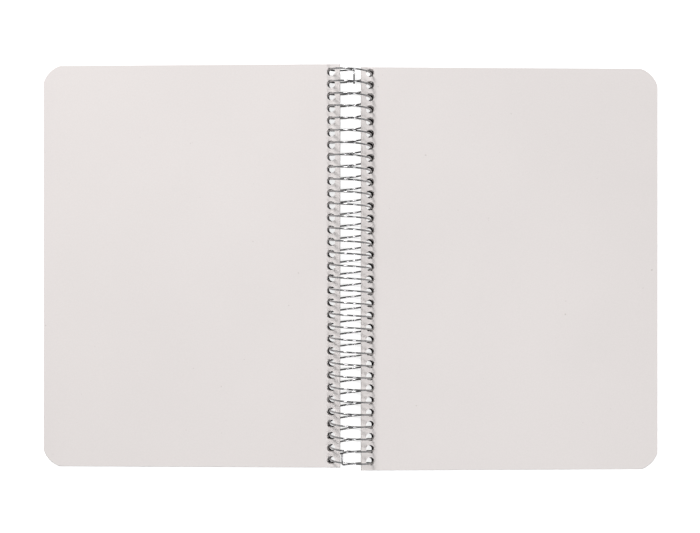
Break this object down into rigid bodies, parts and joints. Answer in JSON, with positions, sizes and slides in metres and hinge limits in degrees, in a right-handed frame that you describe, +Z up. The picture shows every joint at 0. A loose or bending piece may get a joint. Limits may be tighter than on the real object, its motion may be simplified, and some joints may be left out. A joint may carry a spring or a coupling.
{
  "type": "spiral-bound sketchbook",
  "caption": "Sketchbook lying open flat: blank white leaves with rounded outer corners, punched along the spine and held by a spiral of steel wire between two board covers.",
  "frame": {"origin": "centre of the open book's outline, on the table plane", "axes": "+X across the open book to the right-hand page, +Y along the wire coil towards the head of the pages, +Z up off the table"},
  "size_m": [0.3262, 0.214, 0.0225],
  "materials": {
    "paper": "matte",
    "page_block": "matte",
    "cover_board": "matte",
    "steel_wire": "satin"
  },
  "bodies": {
    "back_board": {"back_cover": "cover_board", "wire_coil": "steel_wire"},
    "front_board": {"front_cover": "cover_board"},
    "left_outer_sheets": {"left_section_outer": "page_block"},
    "left_middle_sheets": {"left_section_middle": "page_block"},
    "left_inner_sheets": {"left_section_inner": "page_block"},
    "left_page_6": {"left_leaf_6": "paper"},
    "left_page_5": {"left_leaf_5": "paper"},
    "left_page_4": {"left_leaf_4": "paper"},
    "left_page_3": {"left_leaf_3": "paper"},
    "left_page_2": {"left_leaf_2": "paper"},
    "left_page_1": {"left_leaf_1": "paper"},
    "right_outer_sheets": {"right_section_outer": "page_block"},
    "right_middle_sheets": {"right_section_middle": "page_block"},
    "right_inner_sheets": {"right_section_inner": "page_block"},
    "right_page_6": {"right_leaf_6": "paper"},
    "right_page_5": {"right_leaf_5": "paper"},
    "right_page_4": {"right_leaf_4": "paper"},
    "right_page_3": {"right_leaf_3": "paper"},
    "right_page_2": {"right_leaf_2": "paper"},
    "right_page_1": {"right_leaf_1": "paper"}
  },
  "joints": [
    {"name": "front_cover_turn", "type": "hinge", "parent": "back_board", "child": "front_board", "pos_m": [0, 0, 0.01125], "axis": [0, 1, 0], "range_deg": [0, 183.82]},
    {"name": "left_outer_sheets_turn", "type": "hinge", "parent": "front_board", "child": "left_outer_sheets", "pos_m": [0, 0, 0.01125], "axis": [0, 1, 0], "range_deg": [0, 180]},
    {"name": "left_middle_sheets_turn", "type": "hinge", "parent": "left_outer_sheets", "child": "left_middle_sheets", "pos_m": [0, 0, 0.01125], "axis": [0, 1, 0], "range_deg": [0, 180]},
    {"name": "left_inner_sheets_turn", "type": "hinge", "parent": "left_middle_sheets", "child": "left_inner_sheets", "pos_m": [0, 0, 0.01125], "axis": [0, 1, 0], "range_deg": [0, 180]},
    {"name": "left_page_6_turn", "type": "hinge", "parent": "left_inner_sheets", "child": "left_page_6", "pos_m": [0, 0, 0.01125], "axis": [0, 1, 0], "range_deg": [0, 180]},
    {"name": "left_page_5_turn", "type": "hinge", "parent": "left_page_6", "child": "left_page_5", "pos_m": [0, 0, 0.01125], "axis": [0, 1, 0], "range_deg": [0, 180]},
    {"name": "left_page_4_turn", "type": "hinge", "parent": "left_page_5", "child": "left_page_4", "pos_m": [0, 0, 0.01125], "axis": [0, 1, 0], "range_deg": [0, 180]},
    {"name": "left_page_3_turn", "type": "hinge", "parent": "left_page_4", "child": "left_page_3", "pos_m": [0, 0, 0.01125], "axis": [0, 1, 0], "range_deg": [0, 180]},
    {"name": "left_page_2_turn", "type": "hinge", "parent": "left_page_3", "child": "left_page_2", "pos_m": [0, 0, 0.01125], "axis": [0, 1, 0], "range_deg": [0, 180]},
    {"name": "left_page_1_turn", "type": "hinge", "parent": "left_page_2", "child": "left_page_1", "pos_m": [0, 0, 0.01125], "axis": [0, 1, 0], "range_deg": [0, 180]},
    {"name": "right_outer_sheets_turn", "type": "hinge", "parent": "back_board", "child": "right_outer_sheets", "pos_m": [0, 0, 0.01125], "axis": [0, 1, 0], "range_deg": [-180, 0]},
    {"name": "right_middle_sheets_turn", "type": "hinge", "parent": "right_outer_sheets", "child": "right_middle_sheets", "pos_m": [0, 0, 0.01125], "axis": [0, 1, 0], "range_deg": [-180, 0]},
    {"name": "right_inner_sheets_turn", "type": "hinge", "parent": "right_middle_sheets", "child": "right_inner_sheets", "pos_m": [0, 0, 0.01125], "axis": [0, 1, 0], "range_deg": [-180, 0]},
    {"name": "right_page_6_turn", "type": "hinge", "parent": "right_inner_sheets", "child": "right_page_6", "pos_m": [0, 0, 0.01125], "axis": [0, 1, 0], "range_deg": [-180, 0]},
    {"name": "right_page_5_turn", "type": "hinge", "parent": "right_page_6", "child": "right_page_5", "pos_m": [0, 0, 0.01125], "axis": [0, 1, 0], "range_deg": [-180, 0]},
    {"name": "right_page_4_turn", "type": "hinge", "parent": "right_page_5", "child": "right_page_4", "pos_m": [0, 0, 0.01125], "axis": [0, 1, 0], "range_deg": [-180, 0]},
    {"name": "right_page_3_turn", "type": "hinge", "parent": "right_page_4", "child": "right_page_3", "pos_m": [0, 0, 0.01125], "axis": [0, 1, 0], "range_deg": [-180, 0]},
    {"name": "right_page_2_turn", "type": "hinge", "parent": "right_page_3", "child": "right_page_2", "pos_m": [0, 0, 0.01125], "axis": [0, 1, 0], "range_deg": [-180, 0]},
    {"name": "right_page_1_turn", "type": "hinge", "parent": "right_page_2", "child": "right_page_1", "pos_m": [0, 0, 0.01125], "axis": [0, 1, 0], "range_deg": [-180, 0]}
  ]
}
